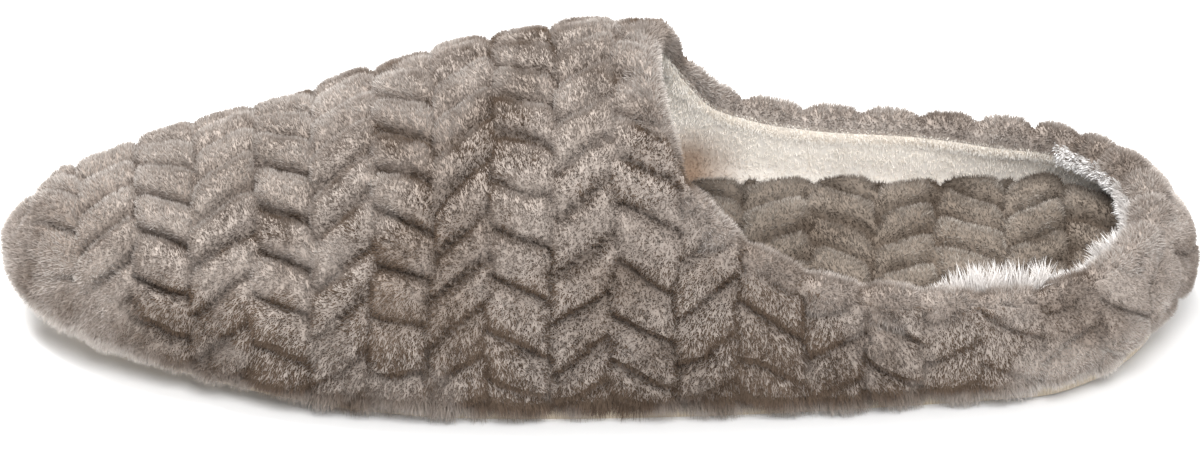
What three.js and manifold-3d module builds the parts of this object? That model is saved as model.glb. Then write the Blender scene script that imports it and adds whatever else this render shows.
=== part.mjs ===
// A closed-toe, open-back house slipper for the left foot, in millimetres: a soft padded upper with a plush
// herringbone relief, a thick footbed and a thin flat outsole.
// +Z is up, the toe points along -X, and the outer side of the foot is on -Y. The origin is on the floor, under the
// middle of the slipper's bounding box.
import * as THREE from 'three';
import { mergeVertices } from 'three/addons/utils/BufferGeometryUtils.js';
import Module from 'manifold-3d';

const wasm = await Module();
wasm.setup();

// Driving sizes
const length = 266; // toe tip to heel back, over the pile
const ballWidth = 97; // the unit of the plan widths below, about the width over the ball
const instepHeight = 72; // top of the vamp at the throat, over the local sole line
const heelRadius = 40.5; // of the heel in plan
const collarHeight = 31; // top of the rim along the sides and heel
const toeSpring = 8; // rise of the sole line at the toe tip
const toeSpringShare = 0.35; // share of the length over which the toe rises
const heelSpring = 4; // rise of the sole line at the heel's back
const heelSpringShare = 0.18;
const springPower = 1.6; // how softly both rises start
const wall = 9; // outer plush, foam and lining together
const wallLean = 6; // how far the wall's inner face leans in, from its widest line down to the ground
const rimProud = 0.9; // how far the turned rim stands out of each side of the wall
const outsoleThickness = 3.8;
const outsoleInset = 8; // of the outsole's edge from the widest outline
const footbedThickness = 14; // foam and its plush cover, to the bottom of the grooves
const clearance = 0.3; // between pieces that meet

// The quilted herringbone: pads in columns across the foot, sloping one way and then the other
const columnWidth = 14.3;
const padPitch = 12.5; // across the pads, along a column
const padSlope = Math.tan(THREE.MathUtils.degToRad(31));
const upperRelief = 2.2;
const footbedRelief = 1.6;
const upperPad = [0, 0.8, 1, 0.8]; // height of each row of points over a pad, from one groove to the next
const footbedPad = [0, 1];
const padEndHeight = 0.45; // of a pad's end, at the edge of its column
const columnSteps = [0, 0.25, 0.75]; // places of the stations in a column
const toeFade = 9; // length of the toe tip over which the relief fades out

// Sections of the outer form, from the toe tip to the heel's back. along is a share of the length, and turn is how
// far the section has swung round the heel's centre, in degrees. axis is the crown's place in plan, and lateral and
// medial are half-widths from it, in ball widths. crown, wide and keel are heights over the sole line, in instep
// heights. The last two are the powers of the section's upper and lower quarters.
const sectionColumns = [
  'along', 'turn', 'axis', 'lateral', 'medial', 'crown', 'wide', 'keel', 'crownPower', 'keelPower',
];
const sectionTable = [
  [0.000, 0, 0.055, 0.000, 0.000, 0.160, 0.160, 0.160, 2.0, 2.0],
  [0.012, 0, 0.052, 0.125, 0.120, 0.275, 0.160, 0.070, 2.0, 2.2],
  [0.045, 0, 0.046, 0.238, 0.225, 0.400, 0.165, 0.010, 2.0, 2.6],
  [0.100, 0, 0.038, 0.342, 0.320, 0.490, 0.190, 0.000, 2.0, 3.2],
  [0.180, 0, 0.030, 0.430, 0.398, 0.588, 0.225, 0.000, 2.0, 3.8],
  [0.270, 0, 0.022, 0.490, 0.450, 0.698, 0.255, 0.000, 2.0, 4.0],
  [0.360, 0, 0.016, 0.523, 0.463, 0.850, 0.280, 0.000, 2.1, 4.0],
  [0.450, 0, 0.010, 0.525, 0.442, 0.965, 0.300, 0.000, 2.1, 4.0],
  [0.540, 0, 0.004, 0.513, 0.416, 1.010, 0.300, 0.000, 2.2, 4.0],
  [0.650, 0, 0.000, 0.490, 0.405, 0.945, 0.280, 0.000, 2.3, 4.0],
  [0.750, 0, 0.000, 0.460, 0.412, 0.810, 0.245, 0.000, 2.3, 3.8],
];
// The same heights at the heel, which swings round its centre. There the half-widths run to the heel's radius.
const heelSections = [
  { turn: 0, lateral: 1.030, medial: 1.0, crown: 0.660, wide: 0.215, crownPower: 2.2, keelPower: 3.2 },
  { turn: 30, lateral: 1.010, medial: 1.0, crown: 0.600, wide: 0.200, crownPower: 2.1, keelPower: 3.0 },
  { turn: 60, lateral: 1.0, medial: 1.0, crown: 0.580, wide: 0.180, crownPower: 2.0, keelPower: 2.8 },
  { turn: 90, lateral: 1.0, medial: 1.0, crown: 0.580, wide: 0.175, crownPower: 2.0, keelPower: 2.8 },
];

// The rim seen from each side of the foot: shares of the way from the collar's height up to the instep's
const rimTable = [
  { along: 0.500, lateral: 1.36, medial: 1.36 },
  { along: 0.531, lateral: 1.13, medial: 1.10 },
  { along: 0.545, lateral: 0.97, medial: 0.90 },
  { along: 0.565, lateral: 0.76, medial: 0.54 },
  { along: 0.590, lateral: 0.57, medial: 0.25 },
  { along: 0.620, lateral: 0.41, medial: 0.14 },
  { along: 0.655, lateral: 0.26, medial: 0.06 },
  { along: 0.695, lateral: 0.14, medial: 0.03 },
  { along: 0.750, lateral: 0.055, medial: 0.025 },
  { along: 0.830, lateral: 0.00, medial: 0.00 },
  { along: 0.930, lateral: 0.00, medial: -0.02 },
  { along: 1.000, lateral: 0.01, medial: 0.01 },
  { along: 1.100, lateral: 0.01, medial: 0.01 },
];

// Fineness of the faceted solids
const cavityStation = 10; // distance between the sections of the cavity
const cavityRows = 7; // rows of the cavity on each side of its crown
const outlineSteps = 4; // outline points from one row of the section table to the next
const rimSegments = 56;
const rimSides = 8;
const soleStations = 20;
const cutterSteps = 22; // of the rim's line, closer together at the throat
const crowding = 1.4; // power by which steps crowd towards their start
const arcSteps = 48; // in which a section's outline is measured
const seamSteps = 60; // from one row of the section table to the next
const halvings = 40; // of a span in which a crossing is looked for
const slopeRows = 0.02; // steps along and around the form that give its normal
const slopeAngle = 0.04;
const lastStationShare = 0.12; // of a column, between the last station and the toe tip

// Working values
const heelAlong = 1 - heelRadius / length;
const rimRadius = wall / 2 + rimProud;
const seatHeight = outsoleThickness + clearance; // of what stands on the outsole, over the sole line
const keelDepth = 0.9; // share of the lower quarter at which the form is closed flat
const tiny = 1e-3;

const sections = buildSections();
const lastRow = sections.length - 1;

function buildSections() {
  const front = sectionTable.map((row) => Object.fromEntries(row.map((value, k) => [sectionColumns[k], value])));
  const heel = heelSections.map((row) => ({
    ...row,
    along: heelAlong,
    axis: 0,
    lateral: row.lateral * heelRadius / ballWidth,
    medial: row.medial * heelRadius / ballWidth,
    keel: 0,
  }));
  return [...front, ...heel];
}

// A section past either end of the table mirrors the form, so that the toe closes round and the heel's back is
// square to its last section.
function sectionRow(index) {
  if (index < 0) {
    const tip = sections[0];
    const row = sections[-index];
    const mirrored = { ...row, lateral: -row.lateral, medial: -row.medial };
    for (const key of ['crown', 'wide', 'keel']) mirrored[key] = 2 * tip[key] - row[key];
    return mirrored;
  }
  if (index > lastRow) {
    const row = sections[2 * lastRow - index];
    return { ...row, turn: 2 * sections[lastRow].turn - row.turn };
  }
  return sections[index];
}

// Catmull-Rom curve through four values, at t from the second to the third
function blend(a, b, c, d, t) {
  return b + 0.5 * t * (c - a + t * (2 * a - 5 * b + 4 * c - d + t * (3 * (b - c) + d - a)));
}

// The section at s, which counts rows of the table
function sectionAt(s) {
  const i = Math.floor(s);
  const t = s - i;
  const [a, b, c, d] = [sectionRow(i - 1), sectionRow(i), sectionRow(i + 1), sectionRow(i + 2)];
  return Object.fromEntries(sectionColumns.map((key) => [key, blend(a[key], b[key], c[key], d[key], t)]));
}

// Height of the sole's underside, which rises at the toe and a little at the heel
function soleLine(x) {
  const along = x / length + 0.5;
  const atToe = Math.max(0, (toeSpringShare - along) / toeSpringShare);
  const atHeel = Math.max(0, (along - 1 + heelSpringShare) / heelSpringShare);
  return toeSpring * atToe ** springPower + heelSpring * atHeel ** springPower;
}

// Height of the middle of the rim. Its two sides' curves are taken half a ball width from the middle of the foot.
function rimLine(x, y) {
  const along = x / length + 0.5;
  const last = rimTable.length - 2;
  let i = rimTable.findIndex((row) => row.along > along) - 1;
  if (i < 0) i = along < rimTable[0].along ? 0 : last;
  const t = Math.max((along - rimTable[i].along) / (rimTable[i + 1].along - rimTable[i].along), 0);
  const at = (k) => rimTable[Math.min(Math.max(k, 0), last + 1)];
  const [a, b, c, d] = [at(i - 1), at(i), at(i + 1), at(i + 2)];
  const lateral = blend(a.lateral, b.lateral, c.lateral, d.lateral, t);
  const medial = blend(a.medial, b.medial, c.medial, d.medial, t);
  const rise = lateral + (medial - lateral) * (0.5 + y / ballWidth);
  return collarHeight - rimRadius + rise * (instepHeight - collarHeight);
}

// A point of a section's outline in its own plane. tau runs from 0 at the crown to 90 degrees at the widest line and
// on to the keel, and is negative on the outer side of the foot.
function sectionPoint(section, tau) {
  const turn = THREE.MathUtils.degToRad(section.turn);
  const side = tau < 0 ? -1 : 1;
  const halfWidth = ballWidth * (tau < 0 ? section.lateral : section.medial);
  const angle = Math.abs(tau);
  const upper = angle <= Math.PI / 2;
  const power = 2 / (upper ? section.crownPower : section.keelPower);
  const reach = halfWidth * Math.max(Math.sin(angle), 0) ** power;
  const climb = Math.abs(Math.cos(angle)) ** power;
  const x = length * (section.along - 0.5) + reach * Math.sin(turn);
  const y = ballWidth * section.axis + side * reach * Math.cos(turn);
  const rise = section.wide + climb * ((upper ? section.crown : section.keel) - section.wide);
  return new THREE.Vector3(x, y, soleLine(x) + instepHeight * rise);
}

const shellPoint = (s, tau) => sectionPoint(sectionAt(s), tau);

// Outward normal of the smooth outer form
function shellNormal(s, tau) {
  const here = Math.max(s, tiny);
  const alongStep = shellPoint(here + slopeRows, tau).sub(shellPoint(Math.max(here - slopeRows, 0), tau));
  const aroundStep = shellPoint(here, tau + slopeAngle).sub(shellPoint(here, tau - slopeAngle));
  return alongStep.cross(aroundStep).normalize();
}

// tau at which the form is closed under the foot
function keelTau(section) {
  return Math.PI - Math.acos(keelDepth ** (section.keelPower / 2));
}

// Arc lengths down one side of a section, from the crown to the keel
function sideArcs(section, side) {
  const end = keelTau(section);
  const taus = [0];
  const arcs = [0];
  let before = sectionPoint(section, 0);
  for (let k = 1; k <= arcSteps; k += 1) {
    const tau = end * (k / arcSteps) ** crowding;
    const point = sectionPoint(section, side * tau);
    taus.push(tau);
    arcs.push(arcs[k - 1] + point.distanceTo(before));
    before = point;
  }
  return { taus, arcs, girth: arcs[arcSteps] };
}

function tauAtArc(table, arc) {
  if (arc <= 0) return 0;
  if (arc >= table.girth) return table.taus[table.taus.length - 1];
  const k = table.arcs.findIndex((value) => value > arc);
  const t = (arc - table.arcs[k - 1]) / (table.arcs[k] - table.arcs[k - 1]);
  return table.taus[k - 1] + t * (table.taus[k] - table.taus[k - 1]);
}

// The path along the form, measured from the heel's back seam to the toe tip: round the heel and then along the crown
const seamPath = buildSeamPath();

function buildSeamPath() {
  const steps = seamSteps * lastRow;
  const samples = [{ s: lastRow, distance: 0 }];
  let before = sectionAt(lastRow);
  for (let k = 1; k <= steps; k += 1) {
    const s = lastRow * (1 - k / steps);
    const section = sectionAt(s);
    const swing = THREE.MathUtils.degToRad(before.turn - section.turn) * heelRadius;
    const forward = length * (before.along - section.along);
    const climb = section.turn > tiny ? 0 : instepHeight * (section.crown - before.crown);
    samples.push({ s, distance: samples[k - 1].distance + Math.hypot(swing + forward, climb) });
    before = section;
  }
  return samples;
}

function sectionAtDistance(distance) {
  const k = Math.max(1, seamPath.findIndex((sample) => sample.distance >= distance));
  const a = seamPath[k - 1];
  const b = seamPath[k];
  return a.s + (b.s - a.s) * (distance - a.distance) / (b.distance - a.distance);
}

// Stations of the herringbone, with the column that each lies in, or null on the line between two columns
function patternStations(total) {
  const stations = [];
  for (let column = 0; column * columnWidth < total; column += 1) {
    for (const step of columnSteps) {
      const distance = (column + step) * columnWidth;
      if (distance < total - columnWidth * lastStationShare) {
        stations.push({ distance, column: step === 0 && column > 0 ? null : column });
      }
    }
  }
  return stations;
}

// How far the rows of pads are shifted sideways at a distance along the form. The first column starts level, so that
// both sides of the foot meet at the heel's back.
function zigzag(distance) {
  const column = Math.floor(distance / columnWidth);
  const along = distance / columnWidth - column - 0.5;
  const start = Math.min(1, distance / columnWidth);
  return (column % 2 ? -1 : 1) * along * start * columnWidth * padSlope;
}

// Height of the relief at a row of points, as a share of its depth. The pads of every second column are shifted by
// half a pad, and on the line between two columns the ends of both meet.
function padHeight(pad, row, column) {
  const rows = pad.length;
  const place = (shift) => pad[(((row - shift) % rows) + rows) % rows];
  if (column === null) return Math.min(place(0), place(rows / 2), padEndHeight);
  return place(column % 2 ? rows / 2 : 0);
}

// A closed solid from a grid of points, a ring for each station. The first and last rings lie on a line or a point.
function solidFromGrid(grid) {
  const columns = grid[0].length;
  const positions = grid.flat().flatMap((point) => [point.x, point.y, point.z]);
  const at = (i, j) => i * columns + (j % columns);
  const faces = [];
  for (let i = 0; i + 1 < grid.length; i += 1) {
    for (let j = 0; j < columns; j += 1) {
      faces.push(at(i, j), at(i, j + 1), at(i + 1, j + 1), at(i, j), at(i + 1, j + 1), at(i + 1, j));
    }
  }
  const geometry = new THREE.BufferGeometry();
  geometry.setAttribute('position', new THREE.Float32BufferAttribute(positions, 3));
  geometry.setIndex(faces);
  return solidFromGeometry(geometry);
}

function solidFromGeometry(geometry) {
  const bare = geometry.clone();
  for (const name of Object.keys(bare.attributes)) if (name !== 'position') bare.deleteAttribute(name);
  const merged = mergeVertices(bare, tiny);
  const faces = merged.index.array;
  const kept = [];
  for (let k = 0; k < faces.length; k += 3) {
    const [a, b, c] = [faces[k], faces[k + 1], faces[k + 2]];
    if (a !== b && b !== c && c !== a) kept.push(a, b, c);
  }
  const solid = new wasm.Manifold(new wasm.Mesh({
    numProp: 3,
    vertProperties: merged.attributes.position.array,
    triVerts: new Uint32Array(kept),
  }));
  if (solid.volume() > 0) return solid;
  for (let k = 0; k < kept.length; k += 3) [kept[k + 1], kept[k + 2]] = [kept[k + 2], kept[k + 1]];
  return new wasm.Manifold(new wasm.Mesh({
    numProp: 3,
    vertProperties: merged.attributes.position.array,
    triVerts: new Uint32Array(kept),
  }));
}

// The whole outer form with its relief, closed over the foot opening and under the sole
function outerForm() {
  const total = seamPath[seamPath.length - 1].distance;
  const stations = patternStations(total);
  const throat = throatSection();
  const throatArcs = [-1, 1].map((side) => sideArcs(sectionAt(throat), side).girth);
  const seamArc = (throatArcs[0] + throatArcs[1]) / 2;
  const rowSpacing = padPitch / upperPad.length;
  const maxZigzag = columnWidth * padSlope / 2;
  const measured = stations.map(({ distance, column }) => {
    const s = sectionAtDistance(distance);
    const sides = [-1, 1].map((side) => sideArcs(sectionAt(s), side));
    return { distance, column, s, sides };
  });
  const girths = measured.flatMap(({ sides }) => sides.map(({ girth }) => girth));
  const rows = Math.ceil((Math.max(...girths) + maxZigzag) / rowSpacing);
  const grid = measured.map(({ distance, column, s, sides }) => {
    const section = sectionAt(s);
    // behind the throat the rows keep their distance from the sole
    const behind = Math.max(0, (s - throat) / (lastRow - throat));
    const slide = sides.map(({ girth }, k) => (
      behind > 0 ? throatArcs[k] + behind * (seamArc - throatArcs[k]) - girth : 0));
    const fade = Math.min(1, (total - distance) / toeFade);
    const ring = [];
    for (let row = -rows; row <= rows; row += 1) {
      const across = row * rowSpacing + zigzag(distance);
      const k = across < 0 ? 0 : 1;
      const arc = Math.abs(across) - slide[k];
      const tau = (k ? 1 : -1) * tauAtArc(sides[k], arc);
      const point = sectionPoint(section, tau);
      if (arc > 0 && arc < sides[k].girth) {
        const height = upperRelief * (padHeight(upperPad, row, column) - 1) * fade;
        point.addScaledVector(shellNormal(s, tau), height);
      }
      ring.push(point);
    }
    return ring;
  });
  // the toe tip itself
  grid.push(grid[0].map(() => shellPoint(0, 0)));
  return solidFromGrid(grid);
}

// The point half way through the wall
function midWall(s, tau) {
  return shellPoint(s, tau).addScaledVector(shellNormal(s, tau), -wall / 2);
}

// The section at whose crown the rim's line crosses the middle of the wall
function throatSection() {
  let low = 0;
  let high = lastRow;
  for (let k = 0; k < halvings; k += 1) {
    const middle = (low + high) / 2;
    const crown = midWall(middle, 0);
    if (crown.z < rimLine(crown.x, crown.y)) low = middle;
    else high = middle;
  }
  return high;
}

// The outer form moved in by an inset. Below its widest line the sides run straight down, leaning in.
function innerForm(inset) {
  const total = seamPath[seamPath.length - 1].distance;
  const count = Math.round(total / cavityStation);
  const grid = [];
  for (let i = 0; i <= count; i += 1) {
    const s = i === count ? 0 : sectionAtDistance(total * (i / count));
    const place = (row, depth) => {
      const tau = (Math.PI / 2) * (row / cavityRows);
      const normal = s === 0 ? new THREE.Vector3(-1, 0, 0) : shellNormal(s, tau);
      if (Math.abs(row) === cavityRows) normal.setZ(0).normalize();
      return shellPoint(s, s === 0 ? 0 : tau).addScaledVector(normal, -depth);
    };
    const ring = [place(-cavityRows, inset + wallLean).setZ(-outsoleThickness)];
    for (let row = -cavityRows; row <= cavityRows; row += 1) ring.push(place(row, inset));
    ring.push(place(cavityRows, inset + wallLean).setZ(-outsoleThickness));
    grid.push(ring);
  }
  return solidFromGrid(closeEnd(grid));
}

// Adds a last station in which the two sides meet, so that the grid's end is closed
function closeEnd(grid) {
  const end = grid[grid.length - 1];
  const lowest = end[0];
  return [...grid, end.map(() => lowest)];
}

// A closed prism over an outline of plan points
function prism(points, bottom, top) {
  const shape = new THREE.Shape(points);
  const geometry = new THREE.ExtrudeGeometry(shape, { depth: top - bottom, bevelEnabled: false });
  geometry.translate(0, 0, bottom);
  return solidFromGeometry(geometry);
}

// The widest outline of the slipper in plan, moved in by an inset
function planOutline(inset) {
  const side = (sign) => {
    const points = [];
    for (let k = 0; k <= lastRow * outlineSteps; k += 1) {
      const s = k / outlineSteps;
      const tau = sign * Math.PI / 2;
      const normal = s === 0 ? new THREE.Vector3(-1, 0, 0) : shellNormal(s, tau);
      normal.setZ(0).normalize();
      points.push(shellPoint(s, tau).addScaledVector(normal, -inset));
    }
    return points;
  };
  const lateral = side(-1);
  const medial = side(1).reverse();
  return [...lateral, ...medial.slice(1, -1)].map((point) => new THREE.Vector2(point.x, point.y));
}

// A wide layer that follows the sole line, between two heights over it
function soleLayer(bottom, top) {
  const half = ballWidth;
  const reach = length + 2 * wall;
  const places = [];
  for (let k = 0; k <= soleStations; k += 1) {
    const x = reach * (k / soleStations - 0.5);
    const flat = soleLine(x) === 0 && soleLine(x - reach / soleStations) === 0;
    if (!flat || soleLine(x + reach / soleStations) > 0) places.push(x);
  }
  const grid = places.map((x) => [
    new THREE.Vector3(x, -half, soleLine(x) + bottom),
    new THREE.Vector3(x, half, soleLine(x) + bottom),
    new THREE.Vector3(x, half, soleLine(x) + top),
    new THREE.Vector3(x, -half, soleLine(x) + top),
  ]);
  return solidFromGrid(cappedGrid(grid));
}

// Closes both ends of a grid with flat fans round a point inside the end ring
function cappedGrid(grid) {
  const middle = (ring) => {
    const point = ring[0].clone().lerp(ring[Math.floor(ring.length / 2)], 0.5);
    return ring.map(() => point);
  };
  return [middle(grid[0]), ...grid, middle(grid[grid.length - 1])];
}

// What is cut away over the foot: all that lies above the rim's line behind the throat
function openingCutter() {
  const front = length * (rimTable[0].along - 0.5);
  const back = length / 2 + wall;
  const ceiling = instepHeight * 2;
  const grid = [];
  for (let k = 0; k <= cutterSteps; k += 1) {
    const x = front + (back - front) * (k / cutterSteps) ** crowding;
    grid.push([
      new THREE.Vector3(x, -ballWidth, rimLine(x, -ballWidth)),
      new THREE.Vector3(x, ballWidth, rimLine(x, ballWidth)),
      new THREE.Vector3(x, ballWidth, ceiling),
      new THREE.Vector3(x, -ballWidth, ceiling),
    ]);
  }
  return solidFromGrid(cappedGrid(grid));
}

// The point on one side of a section's wall that lies on the rim's line
function rimPoint(s, side) {
  let above = 0;
  let under = Math.PI / 2;
  for (let k = 0; k < halvings; k += 1) {
    const middle = (above + under) / 2;
    const point = midWall(s, side * middle);
    if (point.z > rimLine(point.x, point.y)) above = middle;
    else under = middle;
  }
  return midWall(s, side * under);
}

// The turned edge of the upper, a soft roll all the way round the foot opening
function rimRoll() {
  const throat = throatSection();
  const side = (sign) => {
    const points = [];
    for (let k = 0; k <= rimSegments; k += 1) {
      points.push(rimPoint(throat + (lastRow - throat) * (k / rimSegments) ** 2, sign));
    }
    return points;
  };
  const lateral = side(-1);
  const medial = side(1).reverse();
  const path = new THREE.CatmullRomCurve3([...lateral, ...medial.slice(1, -1)], true);
  path.arcLengthDivisions = seamSteps * rimSides;
  return solidFromGeometry(new THREE.TubeGeometry(path, rimSegments, rimRadius, rimSides, true));
}

function buildUpper() {
  const ground = soleLayer(-length, seatHeight);
  return outerForm()
    .subtract(innerForm(wall))
    .subtract(openingCutter())
    .add(rimRoll())
    .subtract(ground);
}

// The footbed's top is the same herringbone, laid flat. It follows the sole up at the toe and stays level at the heel.
function buildFootbed() {
  const half = ballWidth / 2 + padPitch;
  const rowSpacing = padPitch / footbedPad.length;
  const rows = Math.ceil(half / rowSpacing);
  const stations = patternStations(length + 2 * columnWidth);
  const grid = stations.map(({ distance, column }) => {
    const x = length / 2 + columnWidth - distance;
    const level = soleLine(Math.min(x, 0)) + seatHeight + footbedThickness;
    const ring = [new THREE.Vector3(x, half + padPitch, -footbedThickness)];
    for (let row = rows; row >= -rows; row -= 1) {
      const y = row * rowSpacing + zigzag(distance);
      ring.push(new THREE.Vector3(x, y, level + footbedRelief * padHeight(footbedPad, row, column)));
    }
    ring.push(new THREE.Vector3(x, -half - padPitch, -footbedThickness));
    return ring;
  });
  return solidFromGrid(cappedGrid(grid))
    .intersect(innerForm(wall + clearance))
    .subtract(soleLayer(-length, seatHeight));
}

function buildOutsole() {
  return soleLayer(0, outsoleThickness).intersect(prism(planOutline(outsoleInset), -length, length));
}

function meshFromSolid(name, solid, material) {
  const { vertProperties, triVerts, numProp } = solid.getMesh();
  const positions = [];
  for (let k = 0; k < vertProperties.length; k += numProp) positions.push(...vertProperties.slice(k, k + 3));
  const geometry = new THREE.BufferGeometry();
  geometry.setAttribute('position', new THREE.Float32BufferAttribute(positions, 3));
  geometry.setIndex([...triVerts]);
  geometry.computeVertexNormals();
  const mesh = new THREE.Mesh(geometry, material);
  mesh.name = name;
  return mesh;
}

const materials = {
  plush: new THREE.MeshStandardMaterial({ color: 0x8f8478, roughness: 0.95, metalness: 0 }),
  footbedPlush: new THREE.MeshStandardMaterial({ color: 0x7d7468, roughness: 0.95, metalness: 0 }),
  soleCloth: new THREE.MeshStandardMaterial({ color: 0xd8ccb8, roughness: 0.85, metalness: 0 }),
};

const slipper = new THREE.Group();
slipper.add(
  meshFromSolid('upper', buildUpper(), materials.plush),
  meshFromSolid('footbed', buildFootbed(), materials.footbedPlush),
  meshFromSolid('outsole', buildOutsole(), materials.soleCloth),
);

// Stands the slipper on the floor, centred over the origin
const box = new THREE.Box3().setFromObject(slipper);
const centre = box.getCenter(new THREE.Vector3());
slipper.position.set(-centre.x, -centre.y, -box.min.z);
slipper.updateMatrixWorld(true);

export default slipper;
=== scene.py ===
"""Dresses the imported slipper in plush.

Quilted skins with a herringbone relief stand over the upper and the footbed, with real strands of pile on
them, a pale lining, a white fringe at the heel, woven cloth on the sole, and a plain white studio.
"""
import math

import bpy
import numpy as np
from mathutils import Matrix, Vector

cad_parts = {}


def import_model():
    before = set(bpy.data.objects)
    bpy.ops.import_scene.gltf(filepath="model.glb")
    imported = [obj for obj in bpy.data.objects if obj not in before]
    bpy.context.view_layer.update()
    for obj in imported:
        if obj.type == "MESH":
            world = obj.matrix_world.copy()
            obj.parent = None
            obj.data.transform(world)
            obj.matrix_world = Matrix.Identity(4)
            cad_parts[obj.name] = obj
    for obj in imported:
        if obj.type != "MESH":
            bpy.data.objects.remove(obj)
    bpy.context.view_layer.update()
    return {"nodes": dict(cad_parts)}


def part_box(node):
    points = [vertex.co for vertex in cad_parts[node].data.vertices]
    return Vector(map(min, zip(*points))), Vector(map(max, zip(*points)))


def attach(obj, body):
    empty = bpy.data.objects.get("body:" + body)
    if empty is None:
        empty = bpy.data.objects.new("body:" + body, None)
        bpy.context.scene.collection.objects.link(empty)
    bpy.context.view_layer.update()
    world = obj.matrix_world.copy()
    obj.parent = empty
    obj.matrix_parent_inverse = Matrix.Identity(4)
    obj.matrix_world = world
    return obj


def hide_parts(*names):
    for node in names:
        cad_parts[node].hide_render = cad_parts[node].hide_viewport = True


MM = 0.001
TINY = 1e-9

# The slipper's form in millimetres, as in the part's source: the toe at -x, the outer side of the foot at -y
LENGTH = 266.0
BALL_WIDTH = 97.0
INSTEP_HEIGHT = 72.0
HEEL_RADIUS = 40.5
COLLAR_HEIGHT = 31.0
TOE_SPRING = 8.0
TOE_SPRING_SHARE = 0.35
HEEL_SPRING = 4.0
HEEL_SPRING_SHARE = 0.18
SPRING_POWER = 1.6
WALL = 9.0
WALL_LEAN = 6.0
RIM_RADIUS = WALL / 2 + 0.9
SEAT = 4.1
OUTSOLE_INSET = 8.0
FOOTBED_THICKNESS = 14.0
KEEL_DEPTH = 0.9
COLUMN = 14.3
PITCH = 12.5
PAD_SLOPE = math.tan(math.radians(31))
HEEL_ALONG = 1 - HEEL_RADIUS / LENGTH
HEEL_SHARE = HEEL_RADIUS / BALL_WIDTH

# along, turn, axis, lateral, medial, crown, wide, keel, crown power, keel power
SECTIONS = np.array([
    [0.000, 0, 0.055, 0.000, 0.000, 0.160, 0.160, 0.160, 2.0, 2.0],
    [0.012, 0, 0.052, 0.125, 0.120, 0.275, 0.160, 0.070, 2.0, 2.2],
    [0.045, 0, 0.046, 0.238, 0.225, 0.400, 0.165, 0.010, 2.0, 2.6],
    [0.100, 0, 0.038, 0.342, 0.320, 0.490, 0.190, 0.000, 2.0, 3.2],
    [0.180, 0, 0.030, 0.430, 0.398, 0.588, 0.225, 0.000, 2.0, 3.8],
    [0.270, 0, 0.022, 0.490, 0.450, 0.698, 0.255, 0.000, 2.0, 4.0],
    [0.360, 0, 0.016, 0.523, 0.463, 0.850, 0.280, 0.000, 2.1, 4.0],
    [0.450, 0, 0.010, 0.525, 0.442, 0.965, 0.300, 0.000, 2.1, 4.0],
    [0.540, 0, 0.004, 0.513, 0.416, 1.010, 0.300, 0.000, 2.2, 4.0],
    [0.650, 0, 0.000, 0.490, 0.405, 0.945, 0.280, 0.000, 2.3, 4.0],
    [0.750, 0, 0.000, 0.460, 0.412, 0.810, 0.245, 0.000, 2.3, 3.8],
    [HEEL_ALONG, 0, 0, 1.03 * HEEL_SHARE, HEEL_SHARE, 0.660, 0.215, 0, 2.2, 3.2],
    [HEEL_ALONG, 30, 0, 1.01 * HEEL_SHARE, HEEL_SHARE, 0.600, 0.200, 0, 2.1, 3.0],
    [HEEL_ALONG, 60, 0, HEEL_SHARE, HEEL_SHARE, 0.580, 0.180, 0, 2.0, 2.8],
    [HEEL_ALONG, 90, 0, HEEL_SHARE, HEEL_SHARE, 0.580, 0.175, 0, 2.0, 2.8],
])
# along, and the rim's rise on the outer and the inner side
RIM = np.array([
    [0.500, 1.36, 1.36], [0.531, 1.13, 1.10], [0.545, 0.97, 0.90], [0.565, 0.76, 0.54],
    [0.590, 0.57, 0.25], [0.620, 0.41, 0.14], [0.655, 0.26, 0.06], [0.695, 0.14, 0.03],
    [0.750, 0.055, 0.025], [0.830, 0.0, 0.0], [0.930, 0.0, -0.02], [1.000, 0.01, 0.01],
    [1.100, 0.01, 0.01],
])
LAST = len(SECTIONS) - 1

# Plush, in millimetres
SKIN_INSET = 0.4  # of the pads' tops under the tips of the pile
GROOVE = 5.2
COLLAR_PLUSH = 2.2  # added by thick pile to the collar's height on the inner side and round the heel
HEEL_PLUSH = 1.8  # added to that at the heel's end
LINING_INSET = WALL - 2.0
STATION_STEP = 1.2
SIDE_STEPS = 84
THROAT_MARGIN = 0.5  # in rows of the table, before the throat, where the opening may begin
UPPER_HALF = 1.8  # radians from the crown, beyond which the form turns under and isn't cut

# The herringbone's irregularity: amounts in millimetres, and the scales of the noise behind them
BEND, BEND_UNTIDY, BEND_SCALE = 1.5, 1.5, 17
FINE_BEND, FINE_BEND_SCALE = 0.8, 6
SLIP, SLIP_UNTIDY, SLIP_SCALE = 0.7, 1.0, 15
RIDGE_SKEW = 0.35
PAD_ROUNDNESS, END_DEPTH, END_ROUNDNESS = 3.4, 0.45, 7
DEPTH, DEPTH_UNTIDY, DEPTH_MOTTLE, DEPTH_SCALE = 1.25, 0.7, 0.5, 21
DEPTH_LIMITS = (0.4, 1.1)

# How far the plush swells out over the form, in millimetres
LOW_SWELL = 0.7  # of the loose pile along the bottom edge
LUMPS, LUMPS_SCALE = 0.35, 5
LOW_LUMPS, LOW_LUMPS_SCALE = 0.5, 8
TOE_TRIM = 2.0  # over the toe's top, where the plush is thinnest
FOREFOOT_SWELL = 1.5
TOE_TIP_SWELL = 1.2
HEEL_SWELL, HEEL_TRIM = 1.8, 0.4
UNTIDY_SIDE, UNTIDY_TOE = 0.6, 0.45
SKEW_MIDDLE, SKEW_GIRTH, SKEW_MOST = 0.3, 40, 0.8
HEM_DROP = 2.4  # of the plush over the outsole's edge
HEM_CLEARANCE, HEM_WIDTH = 0.6, 1.5
HEM_TURN = 2.5  # square of the angle from the crown, past the widest line
UNDER_MARGIN = 0.6

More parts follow.
